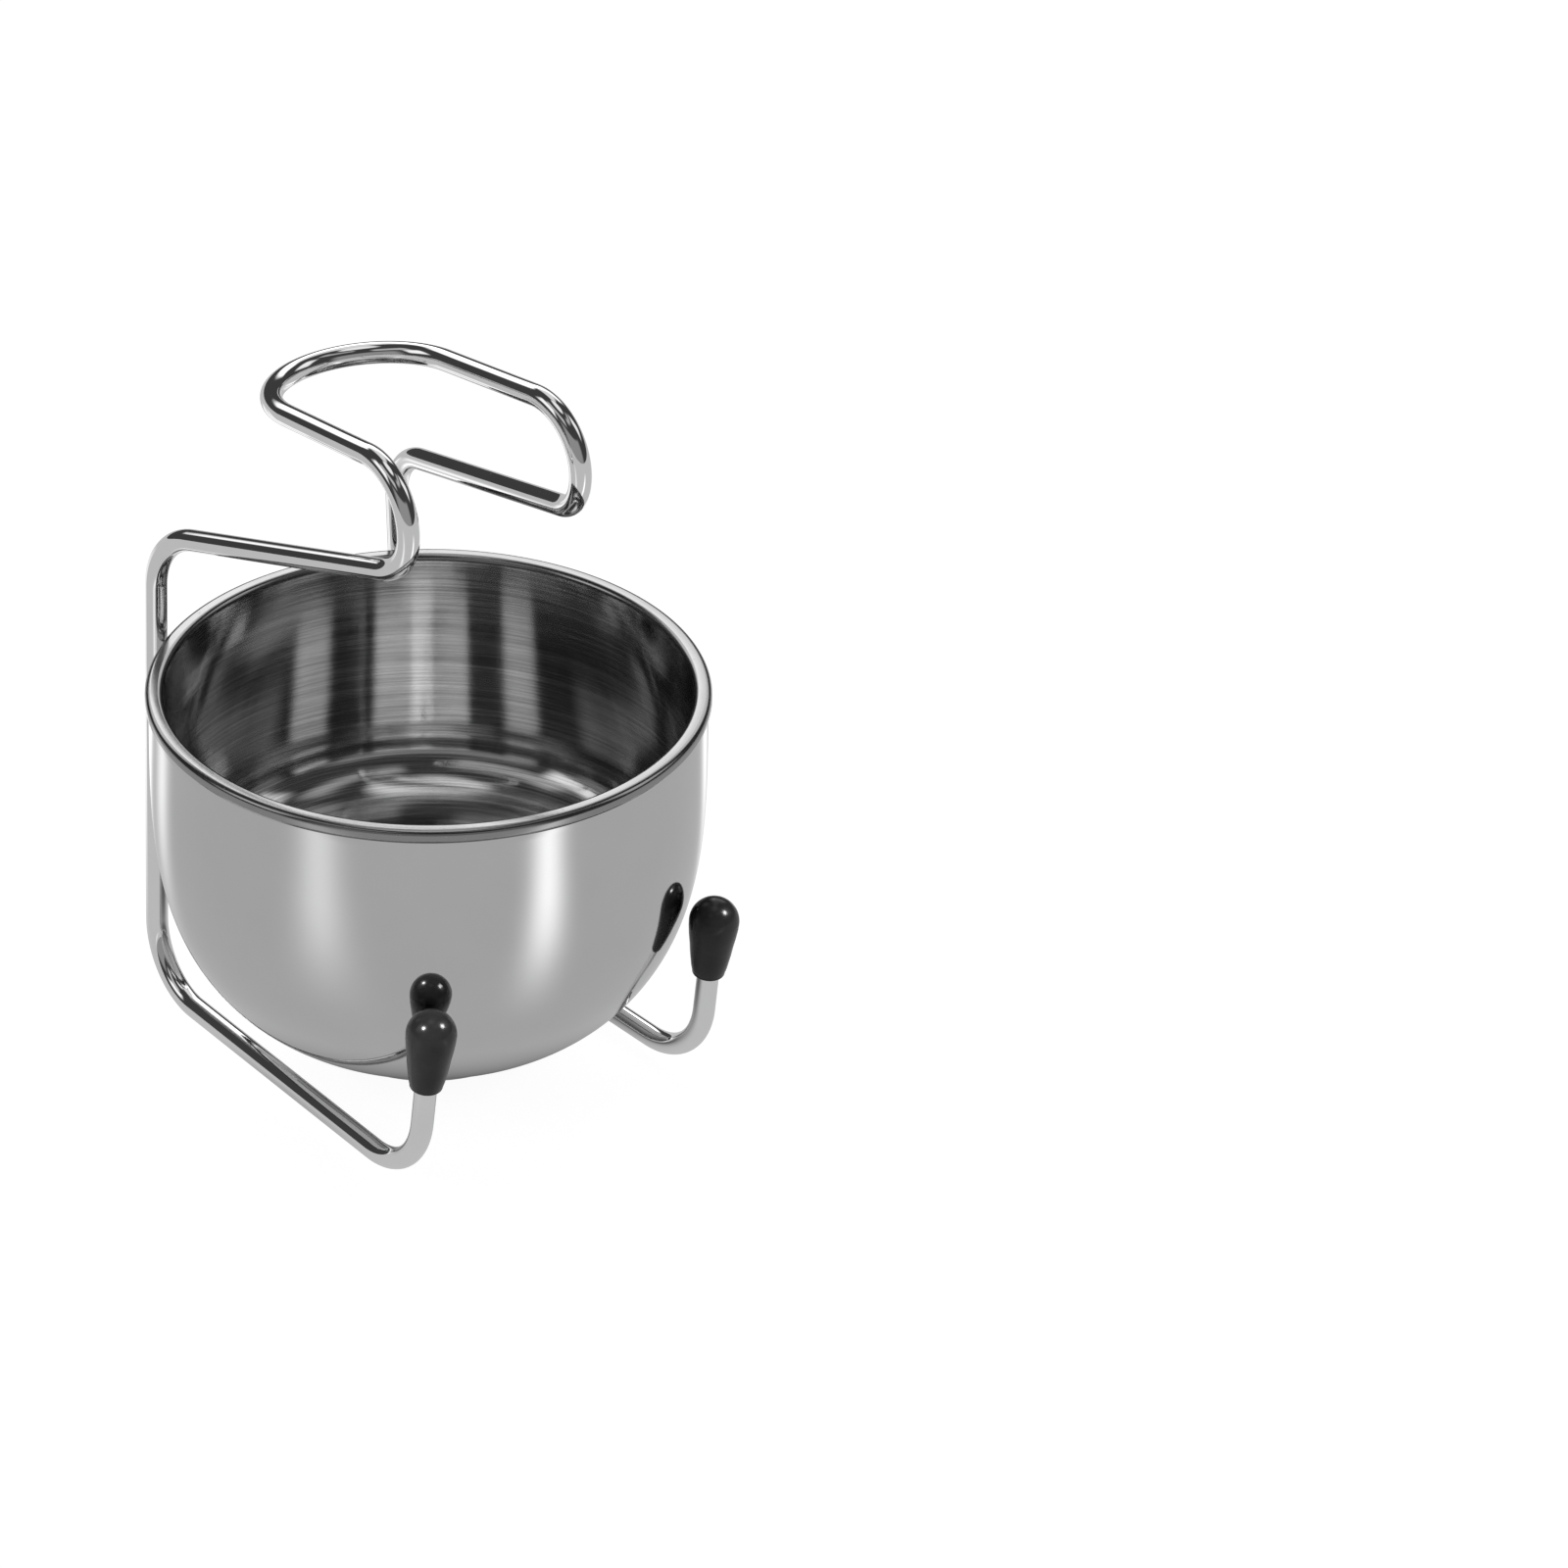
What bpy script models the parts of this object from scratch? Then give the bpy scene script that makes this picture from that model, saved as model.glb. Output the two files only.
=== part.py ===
"""Shaving mug: a double-walled steel bowl held in a bent-wire stand with a brush loop.

Millimetres in the constants, metres in the scene, +Z up. The origin is on the table, on the bowl's
axis. The front is -Y: the two tip caps stand there, and the posts stand at the back, at +Y.
"""

import math

import bpy
from mathutils import Vector

MM = 0.001
GAP = 0.3            # play between touching parts

# Bowl. Heights are measured up from the bowl's own foot.
BOWL_LIFT = 4.5      # the grip of caps and posts holds the foot this far off the table
BOWL_HEIGHT = 69.5
RIM_RADIUS = 50.0
RIM_BAND = 2.1       # height of the rolled rim
RIM_ROLL = 1.1       # radius of its two rounded edges
SHEET = 0.6          # thickness of both sheets
SHELL_RADIUS = 49.4
SHELL_DEPTH = 61.0   # the outer wall is upright above this height
LINER_RADIUS = 46.7
LINER_POLE = 20.0    # where the liner's round bottom would close
LINER_FLOOR = 21.5   # where it is cut off flat
BELLY_POWER = 3.25   # how suddenly the outer wall turns in
LINER_POWER = 10.5   # the liner turns in more sharply
CORNER_POWER = 2.42
BOWL_STEPS = 56

# Foot plate under the bowl.
FOOT_RADIUS = 21.0
FOOT_HEIGHT = 2.2
FOOT_RING = 2.0      # width of the ring it stands on
FOOT_RECESS = 0.8

# Wire stand, one rod. Corners are (sideways, forward, up) of the rod's centre line.
ROD_RADIUS = 2.0
FOOT_CORNER = Vector((31.4, 38.5, 2.0))
CAP_POINT = Vector((31.2, 42.7, 35.0))
REAR_CORNER = Vector((28.9, -44.0, 2.0))
POST_CORNER = Vector((26.2, -45.6, 92.6))
BAR_CORNER = Vector((18.6, 19.2, 111.5))
TOP_CORNER = Vector((18.4, 19.0, 131.0))
LOOP_CENTRE = Vector((0.0, -17.2, 125.8))
LOOP_RADIUS = 17.2
LOOP_DROP = 2.5      # the back of the loop hangs this much lower than its ends
FOOT_BEND = 15.0
REAR_BEND = 13.0
POST_BEND = 13.0
BAR_BEND = 9.0
TOP_BEND = 11.0
BEND_STEP = math.radians(14.0)
LOOP_STEPS = 14

# Tip caps, slipped over the rod's two ends.
CAP_BASE_HEIGHT = 23.5
CAP_LENGTH = 16.0
CAP_RADIUS = 4.5
CAP_BASE_RADIUS = 3.0
CAP_BORE_DEPTH = 10.0
CAP_STEPS = 20


def scene_point(sideways, forward, up):
    """Turn (sideways, forward, up) in millimetres into scene metres."""
    return Vector((sideways, -forward, up)) * MM


def clear_scene():
    for obj in list(bpy.data.objects):
        bpy.data.objects.remove(obj, do_unlink=True)


def make_collection(name):
    collection = bpy.data.collections.new(name)
    bpy.context.scene.collection.children.link(collection)
    return collection


def make_material(name, colour, metallic, roughness):
    material = bpy.data.materials.new(name)
    material.use_nodes = True
    shader = material.node_tree.nodes["Principled BSDF"]
    shader.inputs["Base Color"].default_value = (*colour, 1.0)
    shader.inputs["Metallic"].default_value = metallic
    shader.inputs["Roughness"].default_value = roughness
    return material


def turned(name, profile, steps, material, collection):
    """Spin a profile of (radius, height) in millimetres about +Z."""
    mesh = bpy.data.meshes.new(name)
    points = [(radius * MM, 0.0, height * MM) for radius, height in profile]
    mesh.from_pydata(points, [(i, i + 1) for i in range(len(points) - 1)], [])
    mesh.materials.append(material)
    obj = bpy.data.objects.new(name, mesh)
    collection.objects.link(obj)
    screw = obj.modifiers.new("Spin", "SCREW")
    screw.angle = math.tau
    screw.steps = steps
    screw.render_steps = steps
    screw.use_merge_vertices = True
    screw.merge_threshold = 0.00005
    screw.use_smooth_shade = True
    return obj


def wall_radius(height, radius, top, pole, power):
    """Radius of a round-bottomed wall that closes at pole and is upright at top."""
    fall = max(top - height, 0.0) / (top - pole)
    return radius * max(1.0 - fall**power, 0.0) ** (1.0 / CORNER_POWER)


def wall_points(low, high, count, **shape):
    """Points up a wall, closer together low down where it curves most."""
    heights = [low + (high - low) * (i / count) ** 1.8 for i in range(count + 1)]
    return [(wall_radius(height, **shape), height) for height in heights]


def rounded(centre, radius, start, end, count):
    """Points along an arc in the profile plane, with the angles in degrees."""
    angles = [math.radians(start + (end - start) * i / count) for i in range(count + 1)]
    return [(centre[0] + radius * math.cos(a), centre[1] + radius * math.sin(a)) for a in angles]


def outer_shell(material, collection):
    low = FOOT_HEIGHT + GAP
    high = BOWL_HEIGHT - RIM_BAND - GAP
    outside = dict(radius=SHELL_RADIUS, top=SHELL_DEPTH, pole=0.0, power=BELLY_POWER)
    inside = dict(outside, radius=SHELL_RADIUS - SHEET, pole=SHEET)
    inner = wall_points(low + SHEET, high, 12, **inside)
    outer = wall_points(low, high, 14, **outside)
    profile = [(0.0, low + SHEET), *inner, *reversed(outer), (0.0, low)]
    return turned("outer_shell", profile, BOWL_STEPS, material, collection)


def liner(material, collection):
    neck = BOWL_HEIGHT - RIM_BAND
    inside = dict(radius=LINER_RADIUS, top=BOWL_HEIGHT, pole=LINER_POLE, power=LINER_POWER)
    outside = dict(inside, radius=LINER_RADIUS + SHEET, pole=LINER_POLE - SHEET)
    roll_height = BOWL_HEIGHT - RIM_ROLL
    inner_edge = rounded((LINER_RADIUS + RIM_ROLL, roll_height), RIM_ROLL, 180.0, 90.0, 4)
    outer_edge = rounded((RIM_RADIUS - RIM_ROLL, roll_height), RIM_ROLL, 90.0, 0.0, 4)
    hem = [(RIM_RADIUS - 0.35, neck), (LINER_RADIUS + SHEET + 0.2, neck)]
    inner = wall_points(LINER_FLOOR, neck - 1.0, 12, **inside)
    outer = wall_points(LINER_FLOOR - SHEET, neck - 0.6, 12, **outside)
    profile = [(0.0, LINER_FLOOR), *inner, *inner_edge, *outer_edge, (RIM_RADIUS, neck + 0.35), *hem]
    profile += [*reversed(outer), (0.0, LINER_FLOOR - SHEET)]
    return turned("liner", profile, BOWL_STEPS, material, collection)


def foot_plate(material, collection):
    bevel = 0.3
    profile = [
        (0.0, FOOT_HEIGHT),
        (FOOT_RADIUS - bevel, FOOT_HEIGHT),
        (FOOT_RADIUS, FOOT_HEIGHT - bevel),
        (FOOT_RADIUS, bevel),
        (FOOT_RADIUS - bevel, 0.0),
        (FOOT_RADIUS - FOOT_RING, 0.0),
        (FOOT_RADIUS - FOOT_RING - FOOT_RECESS, FOOT_RECESS),
        (0.0, FOOT_RECESS),
    ]
    return turned("foot_plate", profile, BOWL_STEPS, material, collection)


def bend(before, corner, after, radius):
    """Points along the arc that rounds a corner of the rod."""
    back = (before - corner).normalized()
    ahead = (after - corner).normalized()
    turn = math.pi - back.angle(ahead)
    reach = radius * math.tan(turn / 2.0)
    middle = (back + ahead).normalized()
    centre = corner + middle * (radius / math.cos(turn / 2.0))
    start = (corner + back * reach - centre).normalized()
    side = (-back - start * start.dot(-back)).normalized()
    count = max(3, round(turn / BEND_STEP))
    angles = [turn * i / count for i in range(count + 1)]
    return [centre + (start * math.cos(a) + side * math.sin(a)) * radius for a in angles]


def cap_axis():
    return (CAP_POINT - FOOT_CORNER).normalized()


def upright_at(height):
    """The point of the front upright's centre line at a given height."""
    axis = cap_axis()
    return FOOT_CORNER + axis * ((height - FOOT_CORNER.z) / axis.z)


def half_rod():
    """The rod's centre line from one tip back, up and forward to where the loop starts."""
    tip = upright_at(CAP_BASE_HEIGHT) + cap_axis() * (CAP_BORE_DEPTH - GAP)
    loop_start = Vector((LOOP_RADIUS, LOOP_CENTRE.y, LOOP_CENTRE.z))
    corners = [tip, FOOT_CORNER, REAR_CORNER, POST_CORNER, BAR_CORNER, TOP_CORNER, loop_start]
    radii = [FOOT_BEND, REAR_BEND, POST_BEND, BAR_BEND, TOP_BEND]
    points = [tip]
    for i, radius in enumerate(radii, start=1):
        points += bend(corners[i - 1], corners[i], corners[i + 1], radius)
    return points


def loop_points():
    """The half circle at the back that the brush hangs in."""
    points = []
    for i in range(LOOP_STEPS + 1):
        angle = math.pi * i / LOOP_STEPS
        back = math.sin(angle)
        sideways = LOOP_RADIUS * math.cos(angle)
        points.append(Vector((sideways, LOOP_CENTRE.y - LOOP_RADIUS * back, LOOP_CENTRE.z - LOOP_DROP * back)))
    return points


def wire_stand(material, collection):
    right = half_rod()
    left = [Vector((-p.x, p.y, p.z)) for p in reversed(right)]
    path = right + loop_points() + left
    curve = bpy.data.curves.new("wire_stand", "CURVE")
    curve.dimensions = "3D"
    curve.bevel_depth = ROD_RADIUS * MM
    curve.bevel_resolution = 3
    curve.use_fill_caps = True
    spline = curve.splines.new("POLY")
    spline.points.add(len(path) - 1)
    for point, place in zip(spline.points, path):
        point.co = (*scene_point(*place), 1.0)
    spline.use_smooth = True
    curve.materials.append(material)
    obj = bpy.data.objects.new("wire_stand", curve)
    collection.objects.link(obj)
    return obj


def tip_cap(side, name, material, collection):
    """A teardrop cap with a blind bore, slipped over a rod end; side is +1 or -1."""
    bore = ROD_RADIUS + GAP
    dome = CAP_LENGTH - CAP_RADIUS
    profile = [(0.0, CAP_LENGTH)]
    profile += rounded((0.0, dome), CAP_RADIUS, 75.0, 0.0, 5)
    profile += [
        (CAP_RADIUS - 0.25, dome - 3.0),
        (CAP_BASE_RADIUS + 0.55, 3.2),
        (CAP_BASE_RADIUS + 0.25, 1.6),
        (CAP_BASE_RADIUS - 0.15, 0.0),
        (bore, 0.0),
        (bore, CAP_BORE_DEPTH),
        (0.0, CAP_BORE_DEPTH),
    ]
    obj = turned(name, profile, CAP_STEPS, material, collection)
    base = upright_at(CAP_BASE_HEIGHT)
    axis = cap_axis()
    obj.location = scene_point(side * base.x, base.y, base.z)
    direction = Vector((side * axis.x, -axis.y, axis.z))
    obj.rotation_mode = "QUATERNION"
    obj.rotation_quaternion = direction.to_track_quat("Z", "Y")
    return obj


def tilt_pivot(collection):
    """Empty on the bowl's tilting axis, across the two places where the rim meets the posts."""
    height = BOWL_LIFT + BOWL_HEIGHT - RIM_ROLL
    share = (height - REAR_CORNER.z) / (POST_CORNER.z - REAR_CORNER.z)
    post = REAR_CORNER.lerp(POST_CORNER, share)
    touch = RIM_RADIUS / math.hypot(post.x, post.y)
    pivot = bpy.data.objects.new("bowl_pivot", None)
    pivot.empty_display_size = 10.0 * MM
    pivot.location = scene_point(0.0, post.y * touch, height)
    collection.objects.link(pivot)
    return pivot


def main():
    clear_scene()
    parts = make_collection("shaving_mug")
    polished = make_material("polished_steel", (0.80, 0.80, 0.80), 1.0, 0.12)
    brushed = make_material("brushed_steel", (0.66, 0.66, 0.66), 1.0, 0.28)
    satin = make_material("satin_steel", (0.62, 0.62, 0.62), 1.0, 0.35)
    chrome = make_material("chrome_wire", (0.86, 0.86, 0.87), 1.0, 0.06)
    rubber = make_material("black_rubber", (0.012, 0.012, 0.012), 0.0, 0.22)

    pivot = tilt_pivot(parts)
    bowl = [outer_shell(polished, parts), liner(brushed, parts), foot_plate(satin, parts)]
    for piece in bowl:
        piece.parent = pivot
        piece.location = scene_point(0.0, 0.0, BOWL_LIFT) - pivot.location

    wire_stand(chrome, parts)
    tip_cap(1.0, "tip_cap_right", rubber, parts)
    tip_cap(-1.0, "tip_cap_left", rubber, parts)


main()
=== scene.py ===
"""Shaving mug: a polished double-walled steel bowl in a bright wire stand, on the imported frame.

The object's and the camera's constants are in millimetres, the stage's and the lamps' in metres,
like the scene. +Z is up and the front is at -Y. Every piece stands for one node of the frame: the
same shape with finer curves, edges and finishes.
"""

import math

import bpy
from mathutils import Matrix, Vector


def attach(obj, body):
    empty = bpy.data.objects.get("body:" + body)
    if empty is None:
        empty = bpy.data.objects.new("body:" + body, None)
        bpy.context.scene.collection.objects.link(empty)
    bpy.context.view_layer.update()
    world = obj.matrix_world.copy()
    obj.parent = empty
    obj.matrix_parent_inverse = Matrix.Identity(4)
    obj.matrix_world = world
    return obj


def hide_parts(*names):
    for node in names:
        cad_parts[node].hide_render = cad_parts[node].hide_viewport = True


MM = 0.001
GAP = 0.3

# Bowl. Heights are measured up from the bowl's own foot.
BOWL_LIFT = 4.5
BOWL_HEIGHT = 69.5
RIM_RADIUS = 50.0
RIM_BAND = 2.1
RIM_ROLL = 1.1
RIM_HEM = 0.35       # rounding of the rim's lower edge
SHEET = 0.6
SHELL_RADIUS = 49.4
SHELL_DEPTH = 61.0
LINER_RADIUS = 46.7
LINER_POLE = 20.0
LINER_FLOOR = 21.5
FLOOR_BLEND = 1.6    # how softly the liner's floor runs into its wall
BELLY_POWER = 3.25
LINER_POWER = 10.5
CORNER_POWER = 2.42
BOWL_STEPS = 192
WALL_STEPS = 90
WALL_CROWDING = 1.8  # how much closer together the wall's points are low down
AXIS_CLEAR = 1.0     # no wall points nearer the axis than this
SHARP_ANGLE = math.radians(35.0)

# The liner's inner and outer walls stop this far below the rim's lower edge, and the rim's tuck
# meets the outer wall this far outside it.
INNER_STOP = 0.2
OUTER_STOP = 0.6
TUCK_REACH = 0.2

# Points along the small arcs of the profiles.
FOLD_STEPS = 12
ROLL_STEPS = 14
HEM_STEPS = 8
BEVEL_STEPS = 6
DOME_STEPS = 20

FOOT_RADIUS = 21.0
FOOT_HEIGHT = 2.2
FOOT_RING = 2.0
FOOT_RECESS = 0.8
FOOT_BEVEL = 0.3
RECESS_CORNER = ((0.1, 0.2), (0.4, 0.0))    # in from the ring's inner side, down from the recess

# Wire stand. Corners are (sideways, forward, up) of the rod's centre line.
ROD_RADIUS = 2.0
ROD_SIDES = 40
ROD_EDGE = 0.3
ROD_STRETCH = 6.0
FOOT_CORNER = Vector((31.4, 38.5, 2.0))
CAP_POINT = Vector((31.2, 42.7, 35.0))
REAR_CORNER = Vector((28.9, -44.0, 2.0))
POST_CORNER = Vector((26.2, -45.6, 92.6))
BAR_CORNER = Vector((18.6, 19.2, 111.5))
TOP_CORNER = Vector((18.4, 19.0, 131.0))
LOOP_CENTRE = Vector((0.0, -17.2, 125.8))
LOOP_RADIUS = 17.2
LOOP_DROP = 2.5
BENDS = (15.0, 13.0, 13.0, 9.0, 11.0)
BEND_STEP = math.radians(4.0)
LOOP_STEPS = 48

# Tip caps.
CAP_BASE_HEIGHT = 23.5
CAP_LENGTH = 16.0
CAP_RADIUS = 4.5
CAP_BASE_RADIUS = 3.0
CAP_BORE_DEPTH = 10.0
CAP_STEPS = 120
CAP_SEAM = 0.03      # height of the mould line
CAP_SEAM_WIDTH = math.radians(3.0)
CAP_LIP = 0.25       # rounding of the lower edge
CAP_LIP_INSET = 0.30
CAP_SHOULDER = ((0.05, 1.2), (0.25, 3.0), (0.56, 5.0))              # in and down from the dome
CAP_TAPER = ((0.72, 4.6), (0.47, 3.0), (0.25, 1.6), (0.0, 0.6))     # out and up from the base

# Camera, matched to the photograph: where it stands, seen from a point on the bowl's axis.
VIEW_AZIMUTH = -36.6
VIEW_ELEVATION = 30.23
VIEW_DISTANCE = 1500.0
VIEW_POINT = Vector((0.0, 0.0, 73.5))
VIEW_ASIDE = 62.64   # the optical axis passes this far right of and below the point, in mm
VIEW_BELOW = 16.94
SENSOR = 36.0
LENS = 195.24
CLIP_RANGE = (0.01, 100.0)

# Floor, in metres: its size, how far down the reflected one lies, and how bright that one is up to
# the first radius and from the second one on. The reflected one is a glow that stands in for the lit
# floor, dimmed towards the middle as a painted shadow under the bowl.
FLOOR_SIZE = 12.0
FLOOR_LIGHT = 0.93
MIRRORED_DROP = 0.0010
FLOOR_PAINTED_SHADOW = 0.12
FLOOR_GLOW = 0.56
PAINTED_SHADOW_RADIUS = 0.012
GLOW_RADIUS = 0.045

# Streaks of light on the reflected floor: the side they are seen from, how far round the wall from
# there, width in mm, strength. The cards' own sizes below are in metres.
STREAKS = (
    (0.0, 25.0, 10.0, 0.95), (0.0, -23.0, 15.0, 0.45),
    (100.0, 24.0, 10.0, 0.8), (-90.0, -20.0, 10.0, 0.7),
    (180.0, 22.0, 9.0, 0.9), (200.0, -24.0, 12.0, 0.5),
)
STREAK_WIDTH = 0.2
STREAK_LENGTH = 0.5
STREAK_SPREAD = 0.06
STREAK_FADE_IN = (0.005, 0.095)
STREAK_FADE_OUT = (0.10, 0.45)
STREAK_DROP = 0.0002
STREAK_SPACING = 0.00005

# Lit parts of the room, seen only in reflections: azimuth of the middle and half width, softness of
# the sides, lowest and highest elevation, softness of the ends, all in degrees, and strength.
WINDOWS = (
    (0.0, None, 0.0, 77.0, None, 3.0, 1.10),
    (-48.0, 33.0, 6.0, 44.0, 57.0, 4.0, 0.60),
    (-76.0, 15.0, 5.0, 20.0, 42.0, 4.0, 1.30),
    (60.0, 42.0, 6.0, 58.0, 67.0, 4.0, 0.50),
    (100.0, 13.0, 5.0, 22.0, 50.0, 5.0, 1.15),
    (0.0, 45.0, 10.0, -8.0, 33.0, 3.0, 0.30),
    (186.5, 40.0, 4.0, 22.0, 42.0, 4.0, 1.65),
    (186.0, 8.0, 4.0, 22.0, 42.0, 4.0, 1.40),
    (180.0, 24.0, 8.0, 42.0, 76.0, 5.0, 0.90),
)
ROOM = 0.06

# Lamps on the caps: name, azimuth and elevation in degrees, distance and diameter in metres,
# brightness as seen in a mirror. They stand around LAMP_AIM.
CAP_LAMPS = (
    ("cap_lamp_left", -52.0, 46.0, 1.2, 0.20, 240.0),
    ("cap_lamp_right", 80.0, 42.0, 1.2, 0.32, 75.0),
)
LAMP_AIM = Vector((0.0, 0.0, 0.06))
GLOSSY_BOUNCES = 10


# ---------------------------------------------------------------- shapes

def scene_point(sideways, forward, up):
    """Turn (sideways, forward, up) in millimetres into scene metres."""
    return Vector((sideways, -forward, up)) * MM


def wall_radius(height, radius, top, pole, power):
    """Radius of a round-bottomed wall that closes at pole and is upright at top."""
    fall = max(top - height, 0.0) / (top - pole)
    return radius * max(1.0 - fall**power, 0.0) ** (1.0 / CORNER_POWER)


def wall_points(low, high, **shape):
    """Points up a wall, closer together low down where it curves most."""
    shares = [(i / WALL_STEPS) ** WALL_CROWDING for i in range(WALL_STEPS + 1)]
    heights = [low + (high - low) * share for share in shares]
    return [(wall_radius(height, **shape), height) for height in heights]


def cup_points(high, floor, radius, top, pole, power):
    """Points from the axis out over a flat floor that blends into the round wall, then up to high."""
    points = [(0.0, floor)]
    for radial, height in wall_points(pole, high, radius=radius, top=top, pole=pole, power=power):
        lift = max(FLOOR_BLEND - abs(height - floor), 0.0) ** 2 / (4.0 * FLOOR_BLEND)
        points.append((radial, max(height, floor) + lift))
    return [points[0]] + [p for p in points[1:] if p[0] > AXIS_CLEAR]


def rounded(centre, radius, start, end, count):
    """Points along an arc in the profile plane, with the angles in degrees."""
    angles = [math.radians(start + (end - start) * i / count) for i in range(count + 1)]
    return [(centre[0] + radius * math.cos(a), centre[1] + radius * math.sin(a)) for a in angles]


def finished(name, mesh, materials):
    """A shaded object from a filled mesh."""
    for made in materials:
        mesh.materials.append(made)
    mesh.polygons.foreach_set("use_smooth", [True] * len(mesh.polygons))
    mesh.set_sharp_from_angle(angle=SHARP_ANGLE)
    mesh.update()
    obj = bpy.data.objects.new(name, mesh)
    bpy.context.scene.collection.objects.link(obj)
    return obj


def turned(name, profile, steps, materials, finishes=None, swell=None, lift=0.0):
    """Spin a profile of (radius, height) about +Z. finishes gives each stretch's material index."""
    vertices, rings = [], []
    for radius, height in profile:
        count = 1 if radius < 1e-6 else steps
        rings.append(range(len(vertices), len(vertices) + count))
        for k in range(count):
            angle = math.tau * k / steps
            reach = radius + (swell(angle, height) if swell and count > 1 else 0.0)
            vertices.append((
                reach * math.cos(angle) * MM, reach * math.sin(angle) * MM, (height + lift) * MM
            ))
    faces, kinds = [], []
    for row, (low, high) in enumerate(zip(rings, rings[1:])):
        for k in range(steps):
            n = (k + 1) % steps
            if len(low) == 1:
                faces.append((low[0], high[n], high[k]))
            elif len(high) == 1:
                faces.append((low[k], low[n], high[0]))
            else:
                faces.append((low[k], low[n], high[n], high[k]))
            kinds.append(finishes[row] if finishes else 0)
    mesh = bpy.data.meshes.new(name)
    mesh.from_pydata(vertices, [], faces)
    mesh.polygons.foreach_set("material_index", kinds)
    return finished(name, mesh, materials)


def bend(before, corner, after, radius):
    """Points along the arc that rounds a corner of the rod."""
    back = (before - corner).normalized()
    ahead = (after - corner).normalized()
    turn = math.pi - back.angle(ahead)
    reach = radius * math.tan(turn / 2.0)
    middle = (back + ahead).normalized()
    centre = corner + middle * (radius / math.cos(turn / 2.0))
    start = (corner + back * reach - centre).normalized()
    side = (-back - start * start.dot(-back)).normalized()
    count = max(3, round(turn / BEND_STEP))
    angles = [turn * i / count for i in range(count + 1)]
    return [centre + (start * math.cos(a) + side * math.sin(a)) * radius for a in angles]


def cap_axis():
    return (CAP_POINT - FOOT_CORNER).normalized()


def upright_at(height):
    """The point of the front upright's centre line at a given height."""
    axis = cap_axis()
    return FOOT_CORNER + axis * ((height - FOOT_CORNER.z) / axis.z)


def half_rod():
    """The rod's centre line from one tip back, up and forward to where the loop starts."""
    tip = upright_at(CAP_BASE_HEIGHT) + cap_axis() * (CAP_BORE_DEPTH - GAP)
    loop_start = Vector((LOOP_RADIUS, LOOP_CENTRE.y, LOOP_CENTRE.z))
    corners = [tip, FOOT_CORNER, REAR_CORNER, POST_CORNER, BAR_CORNER, TOP_CORNER, loop_start]
    points = [tip]
    for i, radius in enumerate(BENDS, start=1):
        points += bend(corners[i - 1], corners[i], corners[i + 1], radius)
    return points


def loop_points():
    """The half circle at the back that the brush hangs in."""
    points = []
    for i in range(LOOP_STEPS + 1):
        angle = math.pi * i / LOOP_STEPS
        back = math.sin(angle)
        points.append(Vector((
            LOOP_RADIUS * math.cos(angle),
            LOOP_CENTRE.y - LOOP_RADIUS * back,
            LOOP_CENTRE.z - LOOP_DROP * back,
        )))
    return points


def subdivided(points, longest):
    """The same path with its straights cut into short stretches."""
    path = [points[0]]
    for start, end in zip(points, points[1:]):
        count = max(1, math.ceil((end - start).length / longest))
        path += [start.lerp(end, i / count) for i in range(1, count + 1)]
    return path


def rod_mesh(path, radius, sides):
    """A tube along the path, with rounded-off flat ends and no twist."""
    tangents = [(b - a).normalized() for a, b in zip([path[0], *path], [*path[1:], path[-1]])]
    tangents[0] = (path[1] - path[0]).normalized()
    normal = tangents[0].orthogonal().normalized()
    rings = []
    for point, tangent in zip(path, tangents):
        normal = (normal - tangent * normal.dot(tangent)).normalized()
        rings.append((point, tangent, normal, radius))
    head, tail = rings[0], rings[-1]
    rings.insert(0, (head[0] - head[1] * ROD_EDGE, head[1], head[2], radius - ROD_EDGE))
    rings.append((tail[0] + tail[1] * ROD_EDGE, tail[1], tail[2], radius - ROD_EDGE))
    vertices, faces = [], []
    for point, tangent, normal, reach in rings:
        side = tangent.cross(normal)
        for k in range(sides):
            angle = math.tau * k / sides
            vertices.append(point + (normal * math.cos(angle) + side * math.sin(angle)) * reach)
    for row in range(len(rings) - 1):
        for k in range(sides):
            n = (k + 1) % sides
            a, b = row * sides, (row + 1) * sides
            faces.append((a + k, a + n, b + n, b + k))
    last = (len(rings) - 1) * sides
    faces.append(tuple(reversed(range(sides))))
    faces.append(tuple(range(last, last + sides)))
    mesh = bpy.data.meshes.new("rod")
    mesh.from_pydata([scene_point(*v) for v in vertices], [], faces)
    return mesh


# ---------------------------------------------------------------- node helpers

def node(tree, kind, inputs=(), **settings):
    """A shader node with its settings; each input is a socket to link or a value to set."""
    made = tree.nodes.new("ShaderNode" + kind)
    for key, value in settings.items():
        setattr(made, key, value)
    for key, value in dict(inputs).items():
        if isinstance(value, bpy.types.NodeSocket):
            tree.links.new(value, made.inputs[key])
        else:
            made.inputs[key].default_value = value
    return made


def calc(tree, operation, first, second=0.0):
    return node(tree, "Math", {0: first, 1: second}, operation=operation).outputs[0]


def remap(tree, value, low, high, to_low, to_high):
    """Map low..high smoothly to to_low..to_high."""
    inputs = {"Value": value, "From Min": low, "From Max": high, "To Min": to_low, "To Max": to_high}
    return node(tree, "MapRange", inputs, interpolation_type="SMOOTHSTEP").outputs["Result"]


def stretched(tree, scale):
    """Object coordinates scaled per axis, so that noise on them runs in streaks."""
    place = node(tree, "TexCoord").outputs["Object"]
    return node(tree, "VectorMath", {0: place, 1: scale}, operation="MULTIPLY").outputs[0]


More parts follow.
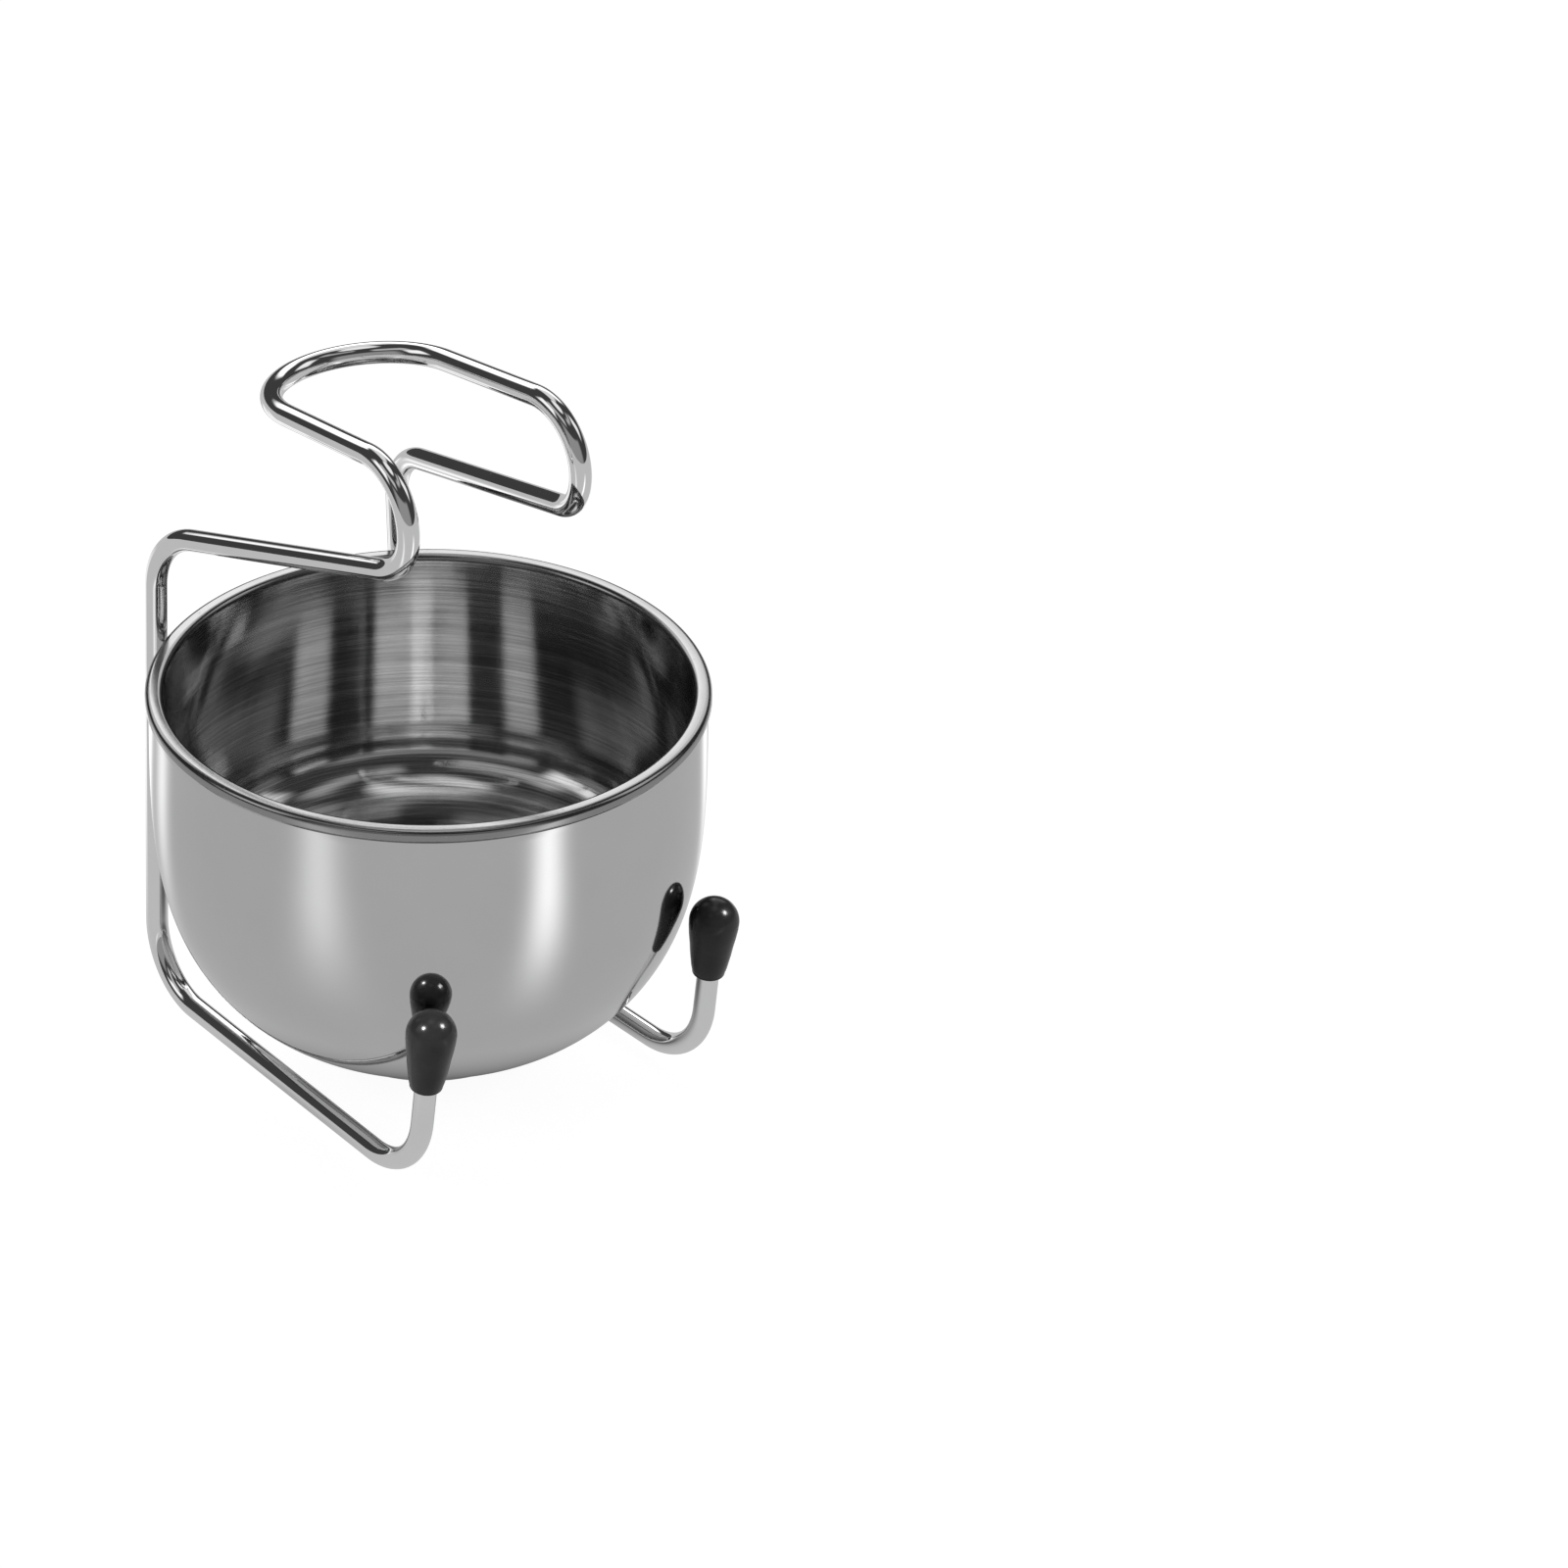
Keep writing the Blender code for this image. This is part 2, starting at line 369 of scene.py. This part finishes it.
def noise(tree, scale, detail=3.0, roughness=0.5):
    """Noise on object coordinates. scale is repeats per metre, or one number per axis."""
    if not isinstance(scale, tuple):
        scale = (scale, scale, scale)
    place = stretched(tree, scale)
    inputs = {"Vector": place, "Scale": 1.0, "Detail": detail, "Roughness": roughness}
    return node(tree, "TexNoise", inputs).outputs["Fac"]


def flattened(tree, vector):
    """A vector with its height taken out."""
    return node(tree, "VectorMath", {0: vector, 1: (1.0, 1.0, 0.0)}, operation="MULTIPLY").outputs[0]


def grey_mix(tree, factor, low, high):
    """Blend two colours by a factor."""
    made = node(tree, "Mix", {"Factor": factor}, data_type="RGBA")
    made.inputs["A"].default_value = (*low, 1.0)
    made.inputs["B"].default_value = (*high, 1.0)
    return made.outputs["Result"]


def bump(tree, height, distance, normal=None):
    """Bump with the height in millimetres."""
    inputs = {"Height": height, "Distance": distance * MM, "Strength": 1.0}
    if normal:
        inputs["Normal"] = normal
    return node(tree, "Bump", inputs).outputs["Normal"]


def new_material(name):
    made = bpy.data.materials.new(name)
    made.use_nodes = True
    return made, made.node_tree, made.node_tree.nodes["Principled BSDF"]


def bare_material(name):
    """A material with an empty tree, for the stage's glowing cards."""
    made = bpy.data.materials.new(name)
    made.use_nodes = True
    made.node_tree.nodes.clear()
    return made, made.node_tree


def connect(tree, shader, **sockets):
    """Link or set sockets of a shader, with _ for each space in their names."""
    for key, value in sockets.items():
        socket = shader.inputs[key.replace("_", " ")]
        if isinstance(value, bpy.types.NodeSocket):
            tree.links.new(value, socket)
        else:
            socket.default_value = value


# ---------------------------------------------------------------- finishes

def polished_steel():
    """Mirror-polished sheet: faint cloudy wipe marks, hairlines round the wall, a soft waviness."""
    made, tree, shader = new_material("mirror_steel")
    clouds = noise(tree, 55.0, 4.0, 0.6)
    hairs = noise(tree, (30.0, 30.0, 5200.0), 2.0)
    waves = noise(tree, (26.0, 26.0, 12.0), 1.0)
    rough = calc(tree, "ADD", remap(tree, clouds, 0.3, 0.75, 0.035, 0.075), calc(
        tree, "MULTIPLY", remap(tree, hairs, 0.55, 0.8, 0.0, 1.0), 0.03))
    normal = bump(tree, hairs, 0.0006)
    connect(
        tree, shader,
        Base_Color=grey_mix(tree, clouds, (0.60, 0.60, 0.605), (0.65, 0.65, 0.65)),
        Metallic=1.0, Roughness=rough,
        Normal=bump(tree, waves, 0.03, normal=normal),
    )
    return made


def brushed_steel():
    """Spin-brushed sheet: fine rings round the axis that spread reflections up and down the wall."""
    made, tree, shader = new_material("spun_steel")
    fine = noise(tree, (40.0, 40.0, 4200.0), 2.0, 0.7)
    coarse = noise(tree, (18.0, 18.0, 900.0), 3.0, 0.6)
    clouds = noise(tree, 70.0, 4.0)
    lines = calc(tree, "ADD", calc(tree, "MULTIPLY", fine, 0.6), calc(tree, "MULTIPLY", coarse, 0.4))
    rough = calc(tree, "ADD", remap(tree, lines, 0.35, 0.65, 0.06, 0.11), calc(
        tree, "MULTIPLY", clouds, 0.02))
    tone = remap(tree, lines, 0.36, 0.64, 0.0, 1.0)
    connect(
        tree, shader,
        Base_Color=grey_mix(tree, tone, (0.46, 0.46, 0.46), (0.80, 0.80, 0.80)),
        Metallic=1.0, Roughness=rough, Anisotropic=1.0, Anisotropic_Rotation=0.25,
        Tangent=node(tree, "Tangent", direction_type="RADIAL", axis="Z").outputs[0],
        Normal=bump(tree, lines, 0.006),
    )
    return made


def rim_steel():
    """The rolled rim: satin and darker than the liner, with light wear on top."""
    made, tree, shader = new_material("rim_steel")
    clouds = noise(tree, 120.0, 4.0, 0.6)
    scuffs = noise(tree, (700.0, 700.0, 2500.0), 3.0, 0.7)
    rough = calc(tree, "ADD", remap(tree, clouds, 0.3, 0.7, 0.15, 0.22), calc(
        tree, "MULTIPLY", remap(tree, scuffs, 0.62, 0.75, 0.0, 1.0), 0.12))
    connect(
        tree, shader,
        Base_Color=grey_mix(tree, clouds, (0.30, 0.30, 0.30), (0.36, 0.36, 0.36)),
        Metallic=1.0, Roughness=rough, Normal=bump(tree, scuffs, 0.0015),
    )
    return made


def satin_steel():
    """Lathe-turned satin foot: rings about the axis, with scuffs where it stands."""
    made, tree, shader = new_material("turned_steel")
    place = node(tree, "TexCoord").outputs["Object"]
    flat = flattened(tree, place)
    radius = node(tree, "VectorMath", {0: flat}, operation="LENGTH").outputs["Value"]
    across = node(tree, "CombineXYZ", {"X": calc(tree, "MULTIPLY", radius, 6000.0)}).outputs[0]
    rings = node(tree, "TexNoise", {"Vector": across, "Scale": 1.0, "Detail": 3.0}).outputs["Fac"]
    scuffs = noise(tree, 900.0, 5.0, 0.7)
    rough = calc(tree, "ADD", remap(tree, rings, 0.3, 0.7, 0.26, 0.36), calc(
        tree, "MULTIPLY", remap(tree, scuffs, 0.6, 0.75, 0.0, 1.0), 0.12))
    connect(
        tree, shader,
        Base_Color=grey_mix(tree, scuffs, (0.56, 0.56, 0.56), (0.66, 0.66, 0.66)),
        Metallic=1.0, Roughness=rough, Normal=bump(tree, rings, 0.006),
    )
    return made


def chrome_wire():
    """Bright chrome over drawn wire: near-mirror, with faint orange peel and handling haze."""
    made, tree, shader = new_material("bright_chrome")
    haze = noise(tree, 140.0, 4.0, 0.6)
    peel = noise(tree, 420.0, 2.0)
    specks = noise(tree, 2600.0, 2.0)
    rough = calc(tree, "ADD", remap(tree, haze, 0.35, 0.7, 0.025, 0.07), calc(
        tree, "MULTIPLY", remap(tree, specks, 0.68, 0.78, 0.0, 1.0), 0.15))
    connect(
        tree, shader,
        Base_Color=grey_mix(tree, haze, (0.82, 0.82, 0.825), (0.88, 0.88, 0.885)),
        Metallic=1.0, Roughness=rough, Normal=bump(tree, peel, 0.004),
    )
    return made


def black_rubber():
    """Glossy dipped vinyl: fine grain under a smooth skin, with a faint haze."""
    made, tree, shader = new_material("dipped_vinyl")
    grain = noise(tree, 3500.0, 2.0)
    haze = noise(tree, 260.0, 4.0, 0.6)
    connect(
        tree, shader,
        Base_Color=grey_mix(tree, haze, (0.008, 0.008, 0.008), (0.020, 0.020, 0.020)),
        Roughness=remap(tree, haze, 0.3, 0.7, 0.16, 0.24),
        Normal=bump(tree, grain, 0.003),
        Specular_IOR_Level=0.22,
    )
    return made


# ---------------------------------------------------------------- pieces

def outer_shell():
    low = FOOT_HEIGHT + GAP
    high = BOWL_HEIGHT - RIM_BAND - GAP
    edge = SHEET / 2.0
    outside = dict(radius=SHELL_RADIUS, top=SHELL_DEPTH, pole=0.0, power=BELLY_POWER)
    inside = dict(outside, radius=SHELL_RADIUS - SHEET, pole=SHEET)
    inner = wall_points(low + SHEET, high - edge, **inside)
    outer = wall_points(low, high - edge, **outside)
    fold = rounded((SHELL_RADIUS - edge, high - edge), edge, 180.0, 0.0, FOLD_STEPS)[1:-1]
    profile = [(0.0, low + SHEET), *inner, *fold, *reversed(outer), (0.0, low)]
    return turned("outer_shell_fine", profile, BOWL_STEPS, [polished_steel()], lift=BOWL_LIFT)


def liner():
    neck = BOWL_HEIGHT - RIM_BAND
    roll_height = BOWL_HEIGHT - RIM_ROLL
    inside = dict(radius=LINER_RADIUS, top=BOWL_HEIGHT, pole=LINER_POLE, power=LINER_POWER)
    outside = dict(inside, radius=LINER_RADIUS + SHEET, pole=LINER_POLE - SHEET)
    inner = cup_points(neck - INNER_STOP, LINER_FLOOR, **inside)
    rim = rounded((LINER_RADIUS + RIM_ROLL, roll_height), RIM_ROLL, 180.0, 90.0, ROLL_STEPS)
    rim += rounded((RIM_RADIUS - RIM_ROLL, roll_height), RIM_ROLL, 90.0, 0.0, ROLL_STEPS)
    rim += rounded((RIM_RADIUS - RIM_HEM, neck + RIM_HEM), RIM_HEM, 0.0, -90.0, HEM_STEPS)
    outer = cup_points(neck - OUTER_STOP, LINER_FLOOR - SHEET, **outside)
    tuck = [(LINER_RADIUS + SHEET + TUCK_REACH, neck)]
    profile = [*inner, *rim, *tuck, *reversed(outer)]
    finishes = [0] * len(inner) + [1] * len(rim) + [0] * (len(outer) + 1)
    materials = [brushed_steel(), rim_steel()]
    return turned("liner_fine", profile, BOWL_STEPS, materials, finishes, lift=BOWL_LIFT)


def foot_plate():
    corner = FOOT_RADIUS - FOOT_BEVEL
    inner = FOOT_RADIUS - FOOT_RING
    profile = [
        (0.0, FOOT_HEIGHT),
        *rounded((corner, FOOT_HEIGHT - FOOT_BEVEL), FOOT_BEVEL, 90.0, 0.0, BEVEL_STEPS),
        *rounded((corner, FOOT_BEVEL), FOOT_BEVEL, 0.0, -90.0, BEVEL_STEPS),
        *rounded((inner + FOOT_BEVEL, FOOT_BEVEL), FOOT_BEVEL, 270.0, 180.0, BEVEL_STEPS),
        *[(inner - inward, FOOT_RECESS - down) for inward, down in RECESS_CORNER],
        (0.0, FOOT_RECESS),
    ]
    return turned("foot_plate_fine", profile, BOWL_STEPS, [satin_steel()], lift=BOWL_LIFT)


def wire_stand():
    right = half_rod()
    left = [Vector((-p.x, p.y, p.z)) for p in reversed(right)]
    path = subdivided(right + loop_points()[1:-1] + left, ROD_STRETCH)
    return finished("wire_stand_fine", rod_mesh(path, ROD_RADIUS, ROD_SIDES), [chrome_wire()])


def mould_line(angle, height):
    """A fine raised line down two opposite sides of a cap."""
    away = math.remainder(angle, math.pi)
    return CAP_SEAM * math.exp(-((away / CAP_SEAM_WIDTH) ** 2))


def tip_cap(side, name, material):
    """A teardrop cap on the rod's end, at the right with side 1 and at the left with side -1."""
    bore = ROD_RADIUS + GAP
    dome = CAP_LENGTH - CAP_RADIUS
    profile = [(0.0, CAP_LENGTH)]
    profile += rounded((0.0, dome), CAP_RADIUS, 88.0, 0.0, DOME_STEPS)
    profile += [(CAP_RADIUS - inward, dome - down) for inward, down in CAP_SHOULDER]
    profile += [(CAP_BASE_RADIUS + outward, up) for outward, up in CAP_TAPER]
    lip = (CAP_BASE_RADIUS - CAP_LIP_INSET, CAP_LIP)
    profile += rounded(lip, CAP_LIP, 20.0, -90.0, BEVEL_STEPS)
    profile += [(bore, 0.0), (bore, CAP_BORE_DEPTH), (0.0, CAP_BORE_DEPTH)]
    obj = turned(name, profile, CAP_STEPS, [material], swell=mould_line)
    base = upright_at(CAP_BASE_HEIGHT)
    axis = cap_axis()
    obj.location = scene_point(side * base.x, base.y, base.z)
    obj.rotation_mode = "QUATERNION"
    obj.rotation_quaternion = Vector((side * axis.x, -axis.y, axis.z)).to_track_quat("Z", "Y")
    return obj


def build_pieces():
    """Make the six pieces, tie each to its body and hide the node that it stands for."""
    rubber = black_rubber()
    rows = [
        (outer_shell(), "outer_shell", "bowl", "polished_steel"),
        (liner(), "liner", "bowl", "brushed_steel"),
        (foot_plate(), "foot_plate", "bowl", "satin_steel"),
        (wire_stand(), "wire_stand", "stand", "chrome_wire"),
        (tip_cap(1.0, "tip_cap_right_fine", rubber), "tip_cap_right", "stand", "black_rubber"),
        (tip_cap(-1.0, "tip_cap_left_fine", rubber), "tip_cap_left", "stand", "black_rubber"),
    ]
    bpy.context.view_layer.update()
    for piece, stands_for, body, finish in rows:
        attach(piece, body)
        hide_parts(stands_for)


# ---------------------------------------------------------------- studio

def direction(azimuth, elevation):
    """Unit vector at an azimuth measured from the camera's own side, and an elevation."""
    turn, rise = math.radians(azimuth + VIEW_AZIMUTH), math.radians(elevation)
    level = math.cos(rise)
    return Vector((math.sin(turn) * level, -math.cos(turn) * level, math.sin(rise)))


def make_camera():
    """Stand the camera where the photograph was taken from, with its off-centre framing."""
    data = bpy.data.cameras.new("camera")
    camera = bpy.data.objects.new("camera", data)
    bpy.context.scene.collection.objects.link(camera)
    bpy.context.scene.camera = camera
    data.sensor_width = SENSOR
    data.lens = LENS
    data.clip_start, data.clip_end = CLIP_RANGE
    back = direction(0.0, VIEW_ELEVATION)
    level = (-back).to_track_quat("-Z", "Y")
    wanted = level @ Vector((-VIEW_ASIDE, VIEW_BELOW, -VIEW_DISTANCE)).normalized()
    camera.rotation_mode = "QUATERNION"
    camera.rotation_quaternion = wanted.rotation_difference(-back) @ level
    camera.location = VIEW_POINT * MM + back * (VIEW_DISTANCE * MM)


def only_for(obj, **seen):
    """Set which kinds of ray see an object; those not named don't."""
    for kind in ("camera", "diffuse", "glossy", "transmission", "volume_scatter", "shadow"):
        setattr(obj, "visible_" + kind, seen.get(kind, False))


def sheet(name, width, depth, material):
    """A flat stage card centred on its origin, facing its own +Z."""
    mesh = bpy.data.meshes.new(name)
    x, y = width / 2.0, depth / 2.0
    mesh.from_pydata([(-x, -y, 0), (x, -y, 0), (x, y, 0), (-x, y, 0)], [], [(0, 1, 2, 3)])
    mesh.materials.append(material)
    obj = bpy.data.objects.new(name, mesh)
    bpy.context.scene.collection.objects.link(obj)
    return obj


def make_floor():
    """A plain pale floor for the camera, and for reflections a greyer glowing one under it, with a
    painted shadow under the bowl.
    """
    pale, tree, shader = new_material("floor_pale")
    shade = noise(tree, 8.0, 2.0)
    connect(
        tree, shader, Base_Color=grey_mix(tree, shade, (0.30, 0.30, 0.30), (0.33, 0.33, 0.33)),
        Roughness=0.9, Specular_IOR_Level=0.0,
        Emission_Color=(1.0, 1.0, 1.0, 1.0), Emission_Strength=FLOOR_LIGHT,
    )
    floor = sheet("floor", FLOOR_SIZE, FLOOR_SIZE, pale)
    only_for(floor, camera=True, diffuse=True, shadow=True)
    grey, tree = bare_material("floor_reflected")
    place = node(tree, "TexCoord").outputs["Object"]
    radius = node(tree, "VectorMath", {0: place}, operation="LENGTH").outputs["Value"]
    # painted shadow: the reflected floor's glow is dimmed towards the middle, under the bowl
    under = remap(tree, radius, PAINTED_SHADOW_RADIUS, GLOW_RADIUS, FLOOR_PAINTED_SHADOW, FLOOR_GLOW)
    glow = node(tree, "Emission", {"Strength": under}).outputs[0]
    node(tree, "OutputMaterial", {"Surface": glow})
    mirror = sheet("floor_mirrored", FLOOR_SIZE, FLOOR_SIZE, grey)
    mirror.location.z = -MIRRORED_DROP
    only_for(mirror, glossy=True)


def make_streak(index, side, offset, width, strength):
    """A soft-edged streak that points away from the bowl, seen only in reflections."""
    made, tree = bare_material("streak")
    place = node(tree, "TexCoord").outputs["Object"]
    axes = node(tree, "SeparateXYZ", {0: place}).outputs
    along = calc(tree, "ADD", axes["Y"], STREAK_LENGTH / 2.0)
    spread = calc(tree, "ADD", calc(tree, "MULTIPLY", along, STREAK_SPREAD), width * MM)
    ratio = calc(tree, "DIVIDE", axes["X"], spread)
    square = calc(tree, "MULTIPLY", ratio, ratio)
    soft = calc(tree, "EXPONENT", calc(tree, "MULTIPLY", square, -1.0))
    near = remap(tree, along, *STREAK_FADE_IN, 0.0, 1.0)
    far = remap(tree, along, *STREAK_FADE_OUT, 1.0, 0.0)
    faded = calc(tree, "MULTIPLY", soft, near)
    power = calc(tree, "MULTIPLY", faded, calc(tree, "MULTIPLY", far, strength))
    glow = node(tree, "Emission", {"Strength": power}).outputs[0]
    clear = node(tree, "BsdfTransparent").outputs[0]
    both = node(tree, "AddShader", {0: glow, 1: clear}).outputs[0]
    node(tree, "OutputMaterial", {"Surface": both})
    card = sheet("streak", STREAK_WIDTH, STREAK_LENGTH, made)
    start = direction(side + offset, 0.0) * (SHELL_RADIUS * MM)
    heading = direction(side + 2.0 * offset, 0.0)
    depth = Vector((0.0, 0.0, STREAK_DROP + STREAK_SPACING * index))
    card.location = start + heading * (STREAK_LENGTH / 2.0) - depth
    card.rotation_euler.z = math.atan2(heading.y, heading.x) - math.pi / 2.0
    only_for(card, glossy=True)


def round_lamp(name, azimuth, elevation, distance, diameter, radiance):
    """A round lamp facing the bowl, with its brightness as seen in a mirror."""
    data = bpy.data.lights.new(name, "AREA")
    data.shape = "ELLIPSE"
    data.size, data.size_y = diameter, diameter
    data.energy = radiance * math.pi * diameter * diameter * math.pi / 4.0
    light = bpy.data.objects.new(name, data)
    bpy.context.scene.collection.objects.link(light)
    towards = direction(azimuth, elevation)
    light.location = towards * distance + LAMP_AIM
    light.rotation_mode = "QUATERNION"
    light.rotation_quaternion = towards.to_track_quat("Z", "Y")
    light.visible_camera = False
    return light


def sine(degrees):
    return math.sin(math.radians(degrees))


def window(tree, towards, height, azimuth, half, edge, low, high, fade, strength):
    """Brightness of one soft-edged window; half or high None means it has no edge there."""
    across = strength
    if half is not None:
        level = flattened(tree, towards)
        level = node(tree, "VectorMath", {0: level}, operation="NORMALIZE").outputs[0]
        sides = {0: level, 1: direction(azimuth, 0.0)}
        facing = node(tree, "VectorMath", sides, operation="DOT_PRODUCT").outputs["Value"]
        outer = math.cos(math.radians(half + edge))
        inner = math.cos(math.radians(half - edge))
        across = remap(tree, facing, outer, inner, 0.0, strength)
    up = remap(tree, height, sine(low - fade), sine(low + fade), 0.0, 1.0)
    if high is not None:
        down = remap(tree, height, sine(high - fade), sine(high + fade), 1.0, 0.0)
        up = calc(tree, "MULTIPLY", up, down)
    return calc(tree, "MULTIPLY", across, up)


def make_world():
    """White for the camera; for reflections a dark room with lit windows."""
    world = bpy.data.worlds.new("studio")
    bpy.context.scene.world = world
    world.use_nodes = True
    tree = world.node_tree
    tree.nodes.clear()
    towards = node(tree, "TexCoord").outputs["Generated"]
    height = node(tree, "SeparateXYZ", {0: towards}).outputs["Z"]
    total = ROOM
    for row in WINDOWS:
        total = calc(tree, "ADD", window(tree, towards, height, *row), total)
    room = node(tree, "Background", {"Strength": total}).outputs[0]
    white = node(tree, "Background", {"Color": (1.0, 1.0, 1.0, 1.0), "Strength": 1.0}).outputs[0]
    seen = node(tree, "LightPath").outputs["Is Camera Ray"]
    both = node(tree, "MixShader", {0: seen, 1: room, 2: white}).outputs[0]
    node(tree, "OutputWorld", {"Surface": both})


def make_studio():
    """World, floor and streaks for the whole object, and lamps that light only the caps."""
    make_world()
    make_floor()
    for index, streak in enumerate(STREAKS):
        make_streak(index, *streak)
    caps = bpy.data.collections.new("lit_caps")
    for name in ("tip_cap_right_fine", "tip_cap_left_fine"):
        caps.objects.link(bpy.data.objects[name])
    for lamp in CAP_LAMPS:
        round_lamp(*lamp).light_linking.receiver_collection = caps
    bpy.context.scene.view_settings.view_transform = "Standard"
    bpy.context.scene.cycles.glossy_bounces = GLOSSY_BOUNCES


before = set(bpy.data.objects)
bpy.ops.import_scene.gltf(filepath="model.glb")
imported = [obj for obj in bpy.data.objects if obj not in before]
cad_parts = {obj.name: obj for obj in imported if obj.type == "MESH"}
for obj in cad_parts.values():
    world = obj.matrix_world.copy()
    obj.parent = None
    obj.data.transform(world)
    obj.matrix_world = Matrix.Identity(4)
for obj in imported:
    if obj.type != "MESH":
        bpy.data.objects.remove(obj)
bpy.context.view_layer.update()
make_camera()
build_pieces()
make_studio()
bpy.context.view_layer.update()
